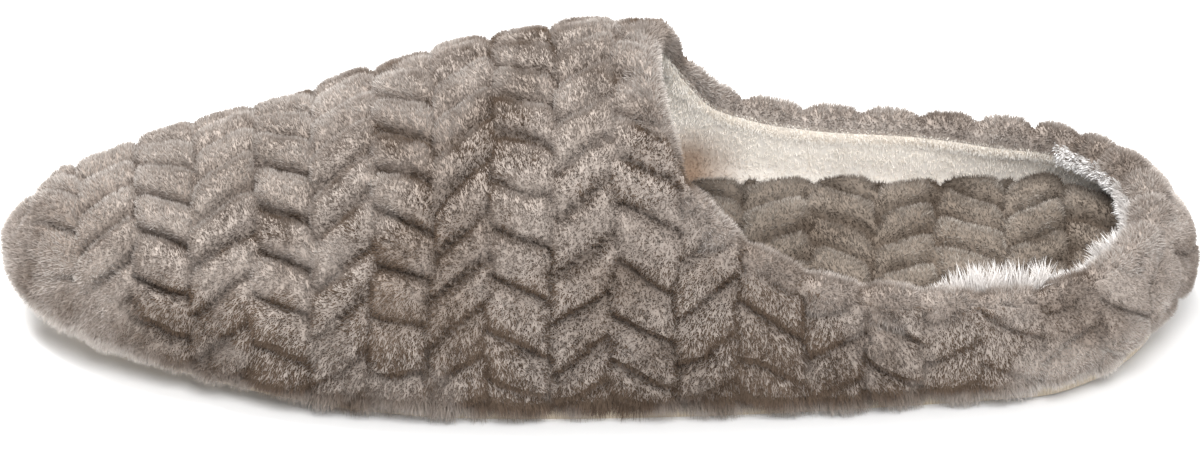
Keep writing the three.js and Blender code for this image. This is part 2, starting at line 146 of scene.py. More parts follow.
# The lining
LINING_STATIONS, LINING_PLACES, DOWN_STEPS = 150, 81, 8
LINING_LUMPS, LINING_LUMPS_SCALE = 0.4, 9
UNDER_RIM_SWELL, UNDER_RIM_REACH = 1.3, 9
FAR_UNDER = 99
LINING_MARGIN, LINING_BACK_MARGIN, LINING_BACK = 0.4, 1.2, 45
# Painted shade of the lining deep under the instep and along the footbed
DEEP_SHADE, SEAM_SHADE = 0.8, 0.12

# The rolled rim
RIM_CORE = 4.3
RIM_RAISE, RIM_DROP = 1.6, 0.6
RIM_SEAM = 0.5  # sine of the place on the roll where the lining begins
RIM_STATIONS, RIM_STEP, RIM_SIDES, RIM_SMOOTHING = 400, 1.1, 22, 3
PINCH, PINCH_WIDTH = 0.5, 2.0
PINCH_MIDDLE, PINCH_MOTTLE, PINCH_SCALE, PINCH_LEAST = 0.75, 0.9, 23, 0.2
INNER_PINCH = 0.9
RIM_LUMPS, RIM_LUMPS_SCALE = 0.10, 9
RIM_FRONT_SIZE, RIM_BACK_SIZE = 0.8, 0.2
OUTER_REACH, OUTER_REACH_HEEL = 0.72, 0.4

# The footbed
FOOTBED_INSET, FOOTBED_STATIONS, FOOTBED_PLACES = 9.2, 200, 71
FOOTBED_RELIEF, FOOTBED_SINK = 6.0, 2.6
FOOTBED_LUMPS, FOOTBED_LUMPS_SCALE = 0.4, 5
FOOTBED_UNTIDY, FOOTBED_SKEW = 0.4, 0.8
FOOTBED_NOISE_PLACE = [0, 0, 300]  # so that the footbed's pads differ from the upper's
EDGE_ROLL, EDGE_DROP = 4, 3
UNDERSIDE_GAP = 0.4

# Strands of pile
ROOT_DEPTH = 0.25
KNEE_SHARE, TIP_SHARE = 0.45, 0.55
LENGTH_SPREAD, WIDTH_SPREAD = (0.7, 1.15), (0.7, 1.2)
LEAST_OUTWARD = 0.35
UPPER_STRANDS, RIM_STRANDS, LINING_STRANDS, FOOTBED_STRANDS = 495000, 90000, 80000, 130000

# Colours of the pile at its root, in its middle, at its tip, and in its dark patches and painted shade, and
# other colours
TAUPE = ((0.27, 0.222, 0.19), (0.465, 0.42, 0.385), (0.67, 0.63, 0.60), (0.13, 0.093, 0.068))
FOOTBED_TAUPE = ((0.155, 0.125, 0.10), (0.295, 0.26, 0.225), (0.44, 0.40, 0.36), (0.10, 0.076, 0.058))
IVORY = ((0.92, 0.83, 0.73), (0.96, 0.92, 0.86), (0.98, 0.965, 0.94), (0.36, 0.24, 0.16))
WHITE = ((0.72, 0.68, 0.64), (0.88, 0.86, 0.85), (0.93, 0.93, 0.93), (0.50, 0.46, 0.43))
CREAM, CREAM_THREAD = (0.62, 0.54, 0.43), (0.42, 0.35, 0.27)
PAPER = (0.93, 0.93, 0.93)
SHADE_SHARE = 0.10
PATCH_SCALE, PATCH_FROM, PATCH_TO = 45.0, 0.44, 0.66
WEAVE_SCALE, WEAVE_DISTORTION, WEAVE_SHARE = 420.0, 0.6, 0.6
CLOTH_NOISE_SCALE, CLOTH_NOISE_SHARE = 90.0, 0.5


def rise(value, start, width):
    """A slope from 0 at start to 1 at start + width."""
    return np.clip((value - start) / width, 0, 1)


def fall(value, start, width):
    """A slope from 0 at start to 1 at start - width."""
    return np.clip((start - value) / width, 0, 1)


def hump(value, middle, width):
    """1 at the middle, fading out on both sides."""
    return np.exp(-((value - middle) / width) ** 2)


def patches(noise, points, scale, contrast, middle=0.5):
    """Noise as soft patches from 0 to 1."""
    return np.clip(middle + contrast * noise(points, scale), 0, 1)


def behind_throat(x):
    """0 at the throat and 1 where the collar runs level."""
    return rise(x, start=15, width=30)


def far_side(y):
    """0 on the outer side and 1 on the inner one."""
    return rise(y, start=-25, width=40)


def phantom_sections():
    """The table with mirrored rows before the toe tip and past the heel's back."""
    before = SECTIONS[[2, 1]].copy()
    before[:, 3:5] *= -1
    before[:, 5:8] = 2 * SECTIONS[0, 5:8] - before[:, 5:8]
    after = SECTIONS[[-2, -3]].copy()
    after[:, 1] = 2 * SECTIONS[-1, 1] - after[:, 1]
    return np.vstack([before, SECTIONS, after])


PHANTOM = phantom_sections()


def catmull(a, b, c, d, t):
    return b + 0.5 * t * (c - a + t * (2 * a - 5 * b + 4 * c - d + t * (3 * (b - c) + d - a)))


def section_at(s):
    """Sections at s, which counts rows of the table."""
    s = np.asarray(s, float)
    i = np.clip(np.floor(s).astype(int), -1, LAST)
    rows = [PHANTOM[i + 2 + k] for k in (-1, 0, 1, 2)]
    return catmull(*rows, (s - i)[..., None])


def sole_line(x):
    along = x / LENGTH + 0.5
    at_toe = np.maximum(0, (TOE_SPRING_SHARE - along) / TOE_SPRING_SHARE)
    at_heel = np.maximum(0, (along - 1 + HEEL_SPRING_SHARE) / HEEL_SPRING_SHARE)
    return TOE_SPRING * at_toe ** SPRING_POWER + HEEL_SPRING * at_heel ** SPRING_POWER


def rim_line(x, y):
    """Height of the rim's middle."""
    along = x / LENGTH + 0.5
    last = len(RIM) - 2
    i = np.clip(np.searchsorted(RIM[:, 0], along, side="right") - 1, 0, last)
    t = np.maximum((along - RIM[i, 0]) / (RIM[i + 1, 0] - RIM[i, 0]), 0)[..., None]
    rows = [RIM[np.clip(i + k, 0, last + 1), 1:] for k in (-1, 0, 1, 2)]
    rise_there = catmull(*rows, t)
    value = rise_there[..., 0] + (rise_there[..., 1] - rise_there[..., 0]) * (0.5 + y / BALL_WIDTH)
    plush = COLLAR_PLUSH * behind_throat(x) * far_side(y)
    plush = plush + HEEL_PLUSH * rise(x, start=95, width=20)
    return COLLAR_HEIGHT - RIM_RADIUS + plush + value * (INSTEP_HEIGHT - COLLAR_HEIGHT)


def shell_point(s, tau):
    """Points of the smooth outer form. tau runs from 0 at the crown down either side."""
    s, tau = np.broadcast_arrays(np.asarray(s, float), np.asarray(tau, float))
    along, turn, axis, lateral, medial, crown, wide, keel, crown_power, keel_power = np.moveaxis(
        section_at(s), -1, 0)
    turn = np.radians(turn)
    side = np.where(tau < 0, -1.0, 1.0)
    half = BALL_WIDTH * np.where(tau < 0, lateral, medial)
    angle = np.abs(tau)
    upper = angle <= np.pi / 2
    power = 2 / np.where(upper, crown_power, keel_power)
    reach = half * np.maximum(np.sin(angle), 0) ** power
    climb = np.abs(np.cos(angle)) ** power
    x = LENGTH * (along - 0.5) + reach * np.sin(turn)
    y = BALL_WIDTH * axis + side * reach * np.cos(turn)
    height = wide + climb * (np.where(upper, crown, keel) - wide)
    return np.stack([x, y, sole_line(x) + INSTEP_HEIGHT * height], axis=-1)


def unit(v):
    return v / np.maximum(np.linalg.norm(v, axis=-1, keepdims=True), 1e-12)


def shell_normal(s, tau):
    s = np.maximum(s, 0.001)
    along = shell_point(s + 0.02, tau) - shell_point(np.maximum(s - 0.02, 0), tau)
    around = shell_point(s, tau + 0.04) - shell_point(s, tau - 0.04)
    return unit(np.cross(along, around))


def side_table(s, side, steps=140):
    """taus and arc lengths down one side of the section at s."""
    section = section_at(s)
    end = np.pi - np.arccos(KEEL_DEPTH ** (section[9] / 2))
    taus = end * np.linspace(0, 1, steps + 1) ** 1.4
    points = shell_point(s, side * np.maximum(taus, 1e-9))
    arcs = np.concatenate([[0], np.cumsum(np.linalg.norm(np.diff(points, axis=0), axis=1))])
    return taus, arcs


def seam_path(per_row=80):
    """s and the distance along the form, from the heel's back seam to the toe tip."""
    s = np.linspace(LAST, 0, per_row * LAST + 1)
    rows = section_at(s)
    swing = np.radians(rows[:-1, 1] - rows[1:, 1]) * HEEL_RADIUS
    forward = LENGTH * (rows[:-1, 0] - rows[1:, 0])
    climb = np.where(rows[1:, 1] > 0.001, 0, INSTEP_HEIGHT * (rows[1:, 5] - rows[:-1, 5]))
    return s, np.concatenate([[0], np.cumsum(np.hypot(swing + forward, climb))])


def mid_wall(s, tau):
    return shell_point(s, tau) - shell_normal(s, tau) * WALL / 2


def bisect(low, high, test):
    """The place between low and high where test turns from true to false, for arrays."""
    for _ in range(40):
        middle = (low + high) / 2
        keep = test(middle)
        low = np.where(keep, middle, low)
        high = np.where(keep, high, middle)
    return high


def throat_section():
    def before(s):
        p = mid_wall(s, np.zeros_like(s))
        return p[..., 2] < rim_line(p[..., 0], p[..., 1])
    return float(bisect(np.array([0.0]), np.array([float(LAST)]), before)[0])


SEAM_S, SEAM_U = seam_path()
TOTAL = SEAM_U[-1]
THROAT = throat_section()


class Noise:
    """Smooth value noise on a wrapped random lattice."""

    SIZE = 32

    def __init__(self, seed):
        self.lattice = np.random.default_rng(seed).uniform(-1, 1, (self.SIZE, self.SIZE, self.SIZE))

    def __call__(self, points, scale):
        p = points / scale
        i = np.floor(p).astype(int)
        t = p - i
        t = t * t * (3 - 2 * t)
        value = 0
        for corner in np.ndindex(2, 2, 2):
            wx, wy, wz = (np.where(far, t[..., k], 1 - t[..., k]) for k, far in enumerate(corner))
            ix, iy, iz = ((i[..., k] + far) % self.SIZE for k, far in enumerate(corner))
            value = value + wx * wy * wz * self.lattice[ix, iy, iz]
        return value


WARP = Noise(11)
WARP_ALONG = Noise(12)
MOTTLE = Noise(13)
CLUMP = [Noise(21), Noise(22), Noise(23)]
PAD_TABLE = 64
PAD_HEIGHTS = np.random.default_rng(31).uniform(0.72, 1.0, (PAD_TABLE, PAD_TABLE))


def zigzag(u):
    """How far the herringbone's rows have climbed or dropped at u, in millimetres."""
    column = np.floor(u / COLUMN)
    along = u / COLUMN - column - 0.5
    return np.where(column % 2, -1, 1) * along * np.minimum(1, u / COLUMN) * COLUMN * PAD_SLOPE


def pad_relief(points, u, across, untidy, skew):
    """Share of the pads' full height by the pattern's coordinates u and across, 0 in the grooves.

    skew runs from -1 to 1 and moves a pad's ridge towards its far or its near edge, as shingles have it.
    """
    bend = (BEND + BEND_UNTIDY * untidy) * WARP(points, BEND_SCALE)
    bend = bend + FINE_BEND * WARP(points, FINE_BEND_SCALE)
    slip = (SLIP + SLIP_UNTIDY * untidy) * WARP_ALONG(points, SLIP_SCALE)
    u = np.maximum(u + slip * rise(u, start=0, width=20), 0)
    column = np.floor(u / COLUMN)
    row = (across + bend - zigzag(u)) / PITCH + np.where(column % 2, 0.5, 0)
    pad = np.floor(row)
    place = row - pad
    near = np.where(skew > 0, place, 1 - place) ** (1 - RIDGE_SKEW * np.abs(skew))
    to_groove = 1 - np.abs(2 * near - 1)
    to_end = 1 - np.abs(2 * (u / COLUMN - column) - 1)
    to_end = np.where(u < COLUMN / 2, 1, to_end)
    round_pad = 1 - (1 - to_groove) ** PAD_ROUNDNESS
    round_end = 1 - END_DEPTH * (1 - to_end) ** END_ROUNDNESS
    lift = PAD_HEIGHTS[column.astype(int) % PAD_TABLE, pad.astype(int) % PAD_TABLE]
    depth = np.clip(DEPTH - DEPTH_UNTIDY * untidy + DEPTH_MOTTLE * MOTTLE(points, DEPTH_SCALE), *DEPTH_LIMITS)
    return 1 - depth * (1 - round_pad * round_end * lift)


def outer_grid():
    """Stations along the form by places across it, with the pattern's coordinates."""
    count = int(TOTAL / STATION_STEP)
    u = TOTAL * np.linspace(0, 1, count + 1)
    s = np.interp(u, SEAM_U, SEAM_S)
    s[-1] = 0
    girths = [side_table(THROAT, side)[1][-1] for side in (-1, 1)]
    seam_girth = sum(girths) / 2
    tau = np.zeros((count + 1, 2 * SIDE_STEPS + 1))
    across = np.zeros_like(tau)
    shares = np.linspace(0, 1, SIDE_STEPS + 1)[1:]
    for i, here in enumerate(s):
        behind = max(0.0, (here - THROAT) / (LAST - THROAT))
        for k, side in enumerate((-1, 1)):
            taus, arcs = side_table(here, side)
            wanted = arcs[-1] * shares
            slide = girths[k] + behind * (seam_girth - girths[k]) - arcs[-1] if behind > 0 else 0
            places = SIDE_STEPS + side * np.arange(1, SIDE_STEPS + 1)
            tau[i, places] = side * np.interp(wanted, arcs, taus)
            across[i, places] = side * (wanted + slide)
    return s[:, None] + 0 * tau, tau, u[:, None] + 0 * tau, across


def above_rim(s, tau, margin=0.0):
    """Where the form is cut away over the foot, down to a margin below the rim's middle."""
    p = mid_wall(s, tau)
    above = p[..., 2] > rim_line(p[..., 0], p[..., 1]) - margin
    return above & (s > THROAT - THROAT_MARGIN) & (np.abs(tau) < UPPER_HALF)


def grid_faces(rows, columns, closed=False):
    i, j = np.meshgrid(np.arange(rows - 1), np.arange(columns if closed else columns - 1), indexing="ij")
    nxt = (j + 1) % columns
    corners = [i * columns + j, i * columns + nxt, (i + 1) * columns + nxt, (i + 1) * columns + j]
    return np.stack(corners, axis=-1).reshape(-1, 4)


def new_mesh(name, points, faces, smooth=True, values=None):
    """A mesh object from points in millimetres and faces of one size, with float values by name."""
    mesh = bpy.data.meshes.new(name)
    corners = faces.shape[1]
    mesh.vertices.add(len(points))
    mesh.vertices.foreach_set("co", ((points + SHIFT) * MM).astype(np.float32).ravel())
    mesh.loops.add(faces.size)
    mesh.loops.foreach_set("vertex_index", faces.astype(np.int32).ravel())
    mesh.polygons.add(len(faces))
    mesh.polygons.foreach_set("loop_start", np.arange(0, faces.size, corners, dtype=np.int32))
    mesh.polygons.foreach_set("use_smooth", np.full(len(faces), smooth))
    for key, data in (values or {}).items():
        attribute = mesh.attributes.new(key, "FLOAT", "POINT")
        attribute.data.foreach_set("value", np.asarray(data, np.float32))
    mesh.update(calc_edges=True)
    obj = bpy.data.objects.new(name, mesh)
    bpy.context.scene.collection.objects.link(obj)
    return obj


def weld(points, faces, values, distance=0.02):
    """Joins points that coincide, and drops the faces that collapse."""
    keys = np.round(points / distance).astype(np.int64)
    _, first, inverse = np.unique(keys, axis=0, return_index=True, return_inverse=True)
    inverse = inverse.ravel()
    faces = inverse[faces]
    quads = (faces != np.roll(faces, 1, axis=1)).all(axis=1) & (faces[:, 0] != faces[:, 2]) \
        & (faces[:, 1] != faces[:, 3])
    slim = ~quads
    thirds = []
    for face in faces[slim]:
        kept = [v for k, v in enumerate(face) if v != face[k - 1]]
        if len(set(kept)) == 3 and len(kept) == 3:
            thirds.append(kept)
    triangles = np.array(thirds, int).reshape(-1, 3)
    split = np.vstack([faces[quads][:, [0, 1, 2]], faces[quads][:, [0, 2, 3]], triangles])
    used = np.unique(split)
    remap = np.full(len(first), -1)
    remap[used] = np.arange(len(used))
    picked = first[used]
    return points[picked], remap[split], {key: data[picked] for key, data in values.items()}


def vertex_normals(points, faces):
    a, b, c = (points[faces[:, k]] for k in range(3))
    face = np.cross(b - a, c - a)
    total = np.zeros_like(points)
    for k in range(3):
        np.add.at(total, faces[:, k], face)
    return unit(total)


def scatter(points, faces, values, count, rng, weight=None):
    """Random places on a triangle mesh: points, normals and the values there."""
    normals = vertex_normals(points, faces)
    a, b, c = (points[faces[:, k]] for k in range(3))
    area = np.linalg.norm(np.cross(b - a, c - a), axis=1)
    if weight is not None:
        area = area * weight[faces].mean(axis=1)
    share = area / area.sum()
    tri = faces[rng.choice(len(faces), count, p=share)]
    r1, r2 = np.sqrt(rng.random(count)), rng.random(count)
    w = np.stack([1 - r1, r1 * (1 - r2), r1 * r2], axis=1)
    mix = lambda data: np.einsum("ij,ij...->i...", w, data[tri])
    return mix(points), unit(mix(normals)), {key: mix(data) for key, data in values.items()}


def clump_vector(points, scale):
    return np.stack([noise(points, scale) for noise in CLUMP], axis=-1)


def pile_directions(roots, normals, rng, lean, comb, clump, clump_scale):
    """Which way strands stand: near the normal, leaning at random, with neighbours drawn into tufts."""
    direction = unit(normals + lean * unit(rng.normal(size=(len(roots), 3))) + np.asarray(comb)
                     + clump * clump_vector(roots, clump_scale))
    outward = (direction * normals).sum(axis=1, keepdims=True)
    return unit(direction + np.maximum(LEAST_OUTWARD - outward, 0) * normals)


def pile(name, roots, normals, lengths, rng, width=0.36, lean=0.5, comb=(0, 0, 0), clump=0.4,
         clump_scale=1.1, droop=0.0, tone=None, floor=None, bent=False):
    """Pile as one mesh. A short strand is one narrow triangle, and a long, bent one a diamond of two."""
    count = len(roots)
    lengths = lengths * rng.uniform(*LENGTH_SPREAD, count)
    direction = pile_directions(roots, normals, rng, lean, comb, clump, clump_scale)
    turned = unit(direction + 0.3 * unit(rng.normal(size=(count, 3))) - np.array([0, 0, droop]))
    sideways = unit(np.cross(direction, normals + 0.5 * rng.normal(size=(count, 3))))
    half = sideways * (width / 2 * rng.uniform(*WIDTH_SPREAD, (count, 1)))
    root = roots - normals * ROOT_DEPTH
    knee = roots + direction * (KNEE_SHARE * lengths)[:, None]
    tip = knee + turned * (TIP_SHARE * lengths)[:, None]
    ends = (knee, tip) if bent else (tip,)
    if floor is not None:
        for end in ends:
            end[:, 2] = np.maximum(end[:, 2], floor(end[:, 0]))
    if bent:
        points = np.stack([root, knee - half, knee + half, tip], axis=1)
        height = [0.0, 0.6, 0.6, 1.0]
        corners = [[0, 1, 2], [1, 3, 2]]
    else:
        points = np.stack([root - half, root + half, tip], axis=1)
        height = [0.1, 0.1, 1.0]
        corners = [[0, 1, 2]]
    size = points.shape[1]
    first = size * np.arange(count)[:, None]
    faces = np.stack([first + corner for corner in corners], axis=1).reshape(-1, 3)
    values = {
        "height": np.tile(height, count),
        "shade": np.repeat(rng.uniform(-1, 1, count), size),
        "tone": np.repeat(np.zeros(count) if tone is None else tone, size),
    }
    return new_mesh(name, points.reshape(-1, 3), faces, smooth=False, values=values)


def ramp(nodes, stops):
    node = nodes.new("ShaderNodeValToRGB")
    while len(node.color_ramp.elements) < len(stops):
        node.color_ramp.elements.new(0.5)
    for element, (place, colour) in zip(node.color_ramp.elements, stops):
        element.position = place
        element.color = (*colour, 1)
    return node


def attribute(nodes, name):
    node = nodes.new("ShaderNodeAttribute")
    node.attribute_name = name
    return node


def math_node(nodes, links, operation, a, b):
    node = nodes.new("ShaderNodeMath")
    node.operation = operation
    for socket, value in zip(node.inputs, (a, b)):
        if isinstance(value, (int, float)):
            socket.default_value = value
        else:
            links.new(value, socket)
    return node.outputs[0]


def new_material(name, roughness, specular):
    material = bpy.data.materials.new(name)
    material.use_nodes = True
    nodes, links = material.node_tree.nodes, material.node_tree.links
    bsdf = nodes["Principled BSDF"]
    bsdf.inputs["Roughness"].default_value = roughness
    bsdf.inputs["Specular IOR Level"].default_value = specular
    return material, nodes, links, bsdf


def plush_material(name, root, middle, tip, dark, mottle=0.35):
    """Pile from a dark root to a light tip, with darker patches, the painted shade that the tone value
    carries, and a little colour from strand to strand.
    """
    material, nodes, links, bsdf = new_material(name, roughness=0.95, specular=0.12)
    height = attribute(nodes, "height").outputs["Fac"]
    shade = attribute(nodes, "shade").outputs["Fac"]
    tone = attribute(nodes, "tone").outputs["Fac"]
    place = math_node(nodes, links, "ADD", height, math_node(nodes, links, "MULTIPLY", shade, SHADE_SHARE))
    colour = ramp(nodes, [(0.0, root), (0.55, middle), (1.0, tip)])
    links.new(place, colour.inputs["Fac"])
    coordinates = nodes.new("ShaderNodeTexCoord").outputs["Object"]
    noise = nodes.new("ShaderNodeTexNoise")
    noise.inputs["Scale"].default_value = PATCH_SCALE
    noise.inputs["Detail"].default_value = 4.0
    noise.inputs["Roughness"].default_value = 0.6
    links.new(coordinates, noise.inputs["Vector"])
    patch = nodes.new("ShaderNodeMapRange")
    patch.inputs["From Min"].default_value = PATCH_FROM
    patch.inputs["From Max"].default_value = PATCH_TO
    patch.inputs["To Max"].default_value = mottle
    links.new(noise.outputs["Fac"], patch.inputs["Value"])
    amount = math_node(nodes, links, "ADD", patch.outputs[0], tone)
    mix = nodes.new("ShaderNodeMix")
    mix.data_type = "RGBA"
    mix.blend_type = "MIX"
    mix.clamp_factor = True
    links.new(amount, mix.inputs[0])
    links.new(colour.outputs["Color"], mix.inputs[6])
    mix.inputs[7].default_value = (*dark, 1)
    links.new(mix.outputs[2], bsdf.inputs["Base Color"])
    return material


def cloth_material(name, base, thread):
    """Fine woven sole cloth: crossed threads in colour and bump."""
    material, nodes, links, bsdf = new_material(name, roughness=0.9, specular=0.2)
    coordinates = nodes.new("ShaderNodeTexCoord").outputs["Object"]
    heights = []
    for direction in ("X", "Y"):
        wave = nodes.new("ShaderNodeTexWave")
        wave.bands_direction = direction
        wave.inputs["Scale"].default_value = WEAVE_SCALE
        wave.inputs["Distortion"].default_value = WEAVE_DISTORTION
        links.new(coordinates, wave.inputs["Vector"])
        heights.append(wave.outputs["Fac"])
    weave = math_node(nodes, links, "MULTIPLY", *heights)
    noise = nodes.new("ShaderNodeTexNoise")
    noise.inputs["Scale"].default_value = CLOTH_NOISE_SCALE
    links.new(coordinates, noise.inputs["Vector"])
    woven = math_node(nodes, links, "MULTIPLY", weave, WEAVE_SHARE)
    uneven = math_node(nodes, links, "MULTIPLY", noise.outputs["Fac"], CLOTH_NOISE_SHARE)
    colour = ramp(nodes, [(0.1, thread), (0.8, base)])
    links.new(math_node(nodes, links, "ADD", woven, uneven), colour.inputs["Fac"])
    links.new(colour.outputs["Color"], bsdf.inputs["Base Color"])
    bump = nodes.new("ShaderNodeBump")
    bump.inputs["Strength"].default_value = 0.4
    bump.inputs["Distance"].default_value = 0.0004
    links.new(weave, bump.inputs["Height"])
    links.new(bump.outputs["Normal"], bsdf.inputs["Normal"])
    return material


def plain_material(name, colour):
    material, _, _, bsdf = new_material(name, roughness=0.9, specular=0.0)
    bsdf.inputs["Base Color"].default_value = (*colour, 1)
    return material


def outer_swell(base, low):
    """How far the plush stands out over the form, before the grooves between the pads go in."""
    x, z = base[..., 0], base[..., 2]
    swell = LOW_SWELL * np.clip((16 - z + sole_line(x)) / 12, 0, 1)
    swell = swell + LUMPS * MOTTLE(base, LUMPS_SCALE) + LOW_LUMPS * low * WARP_ALONG(base, LOW_LUMPS_SCALE)
    toe_top = hump(x, middle=-112, width=16) * rise(z, start=12, width=10)
    forefoot_top = hump(x, middle=-53, width=20) * rise(z, start=38, width=8)
    swell = swell - TOE_TRIM * toe_top
    swell = swell + FOREFOOT_SWELL * forefoot_top
    heel_end = rise(x, start=108, width=14)
    up_the_heel = np.clip((z - 13) / 6, -1, 1)
    swell = swell + heel_end * (HEEL_SWELL * up_the_heel - HEEL_TRIM * rise(z, start=26, width=6))
    return swell + TOE_TIP_SWELL * fall(x, start=-116, width=10) * fall(z, start=22, width=6)


def outer_relief(base, u, across, low):
    """The pads of the upper, less regular low down, and flat under the toe and at its tip."""
    untidy = np.maximum(low, UNTIDY_SIDE * rise(np.abs(across), start=14, width=24))
    untidy = np.maximum(untidy, UNTIDY_TOE * rise(u - TOTAL, start=-50, width=30))
    skew = np.clip(SKEW_MIDDLE - across / SKEW_GIRTH, -SKEW_MOST, SKEW_MOST)
    relief = pad_relief(base, u, across, untidy, skew)
    low_toe = fall(base[..., 0], start=-96, width=14) * fall(base[..., 2], start=26, width=8)
    return 1 - (1 - relief) * fall(u, start=TOTAL, width=6) * (1 - low_toe)


def outer_skin():
    """The quilted outer skin as points, triangles and values at the points."""
    s, tau, u, across = outer_grid()
    base, normal = shell_point(s, np.where(tau == 0, TINY, tau)), shell_normal(s, tau)
    normal[-1] = (-1, 0, 0)
    low = fall(base[..., 2], start=28, width=20)
    relief = outer_relief(base, u, across, low)
    swell = outer_swell(base, low)
    points = base - normal * (SKIN_INSET - swell + GROOVE * (1 - relief))[..., None]
    widest = shell_point(s, np.where(tau < 0, -1, 1) * np.pi / 2)
    inset = np.linalg.norm((widest - points)[..., :2], axis=-1)
    hem = fall(inset, start=OUTSOLE_INSET - HEM_CLEARANCE, width=HEM_WIDTH) * (tau ** 2 > HEM_TURN)
    hem = hem * rise(points[..., 0], start=-124, width=14)
    ground = sole_line(points[..., 0]) + SEAT + 0.2 - HEM_DROP * hem
    under = np.clip(ground + UNDER_MARGIN - points[..., 2], 0, None)
    points[..., 2] = np.maximum(points[..., 2], ground)
    faces = grid_faces(*s.shape)
    cut = above_rim(s, tau).ravel()
    faces = faces[~cut[faces].all(axis=1)]
    values = {"relief": relief.ravel(), "under": under.ravel(), "u": u.ravel(), "low": low.ravel(),
              "form": normal.reshape(-1, 3)}
    return weld(points.reshape(-1, 3), faces, values)


def lining_skin():
    """The lining's skin, on the inner face of the wall. Below the widest line it runs straight down."""
    s = np.interp(np.linspace(0, TOTAL, LINING_STATIONS), SEAM_U, SEAM_S)
    s[-1] = 0
    grid_s, grid_tau = np.meshgrid(s, np.linspace(-np.pi / 2, np.pi / 2, LINING_PLACES), indexing="ij")
    normal = shell_normal(grid_s, grid_tau)
    normal[-1] = (-1, 0, 0)
    middle = mid_wall(grid_s, grid_tau)
    to_rim = rim_line(middle[..., 0], middle[..., 1]) - middle[..., 2]
    under_rim = np.where(grid_s > THROAT - THROAT_MARGIN, to_rim, FAR_UNDER)
    swell = LINING_LUMPS * MOTTLE(shell_point(grid_s, grid_tau), LINING_LUMPS_SCALE)
    swell = swell + UNDER_RIM_SWELL * hump(under_rim, middle=0, width=UNDER_RIM_REACH)
    base = shell_point(grid_s, np.where(grid_s == 0, TINY, grid_tau))
    points = base - normal * (LINING_INSET + swell)[..., None]
    down = []
    for column in (0, -1):
        top = points[:, column]
        flat = unit(normal[:, column] * [1, 1, 0])
        foot = top - flat * WALL_LEAN
        foot[:, 2] = sole_line(foot[:, 0]) + SEAT + UNDERSIDE_GAP
        steps = np.linspace(0, 1, DOWN_STEPS + 1)[1:, None, None]
        down.append(np.moveaxis(top + (foot - top) * steps, 0, 1))
    points = np.concatenate([down[0][:, ::-1], points, down[1]], axis=1)
    cut = np.zeros(points.shape[:2], bool)
    margin = LINING_MARGIN + LINING_BACK_MARGIN * (middle[..., 0] < LINING_BACK)
    cut[:, DOWN_STEPS:-DOWN_STEPS] = above_rim(grid_s, grid_tau, margin)
    faces = grid_faces(*points.shape[:2])
    faces = faces[~cut.ravel()[faces].all(axis=1)][:, ::-1]
    return weld(points.reshape(-1, 3), faces, {"s": np.repeat(s, points.shape[1])})


def rim_path():
    """Points, outward normals and up-the-wall directions round the opening, evenly spaced, with u."""
    s = THROAT + (LAST - THROAT) * np.linspace(0, 1, RIM_STATIONS) ** 2
    sides = []
    for side in (-1, 1):
        def above(tau):
            p = mid_wall(s, side * tau)
            return p[..., 2] > rim_line(p[..., 0], p[..., 1])
        tau = side * bisect(np.full(len(s), 1e-6), np.full(len(s), np.pi / 2), above)
        u = np.interp(-s, -SEAM_S, SEAM_U)
        sides.append(np.column_stack([mid_wall(s, tau), shell_normal(s, tau), u]))
    loop = np.vstack([sides[0], sides[1][::-1][1:-1]])
    closed = np.vstack([loop, loop[:1]])
    arcs = np.concatenate([[0], np.cumsum(np.linalg.norm(np.diff(closed[:, :3], axis=0), axis=1))])
    count = int(arcs[-1] / RIM_STEP)
    wanted = arcs[-1] * np.arange(count) / count
    even = np.column_stack([np.interp(wanted, arcs, column) for column in closed.T])
    centre, outward = even[:, :3], unit(even[:, 3:6])
    for _ in range(RIM_SMOOTHING):
        centre = (np.roll(centre, 1, axis=0) + 2 * centre + np.roll(centre, -1, axis=0)) / 4
    tangent = unit(np.roll(centre, -1, axis=0) - np.roll(centre, 1, axis=0))
    outward = unit(outward - (outward * tangent).sum(axis=1, keepdims=True) * tangent)
    up = np.cross(tangent, outward)
    heel = np.argmax(centre[:, 0])
    if up[heel, 2] < 0:
        up = -up
    return centre, outward, up, even[:, 6]


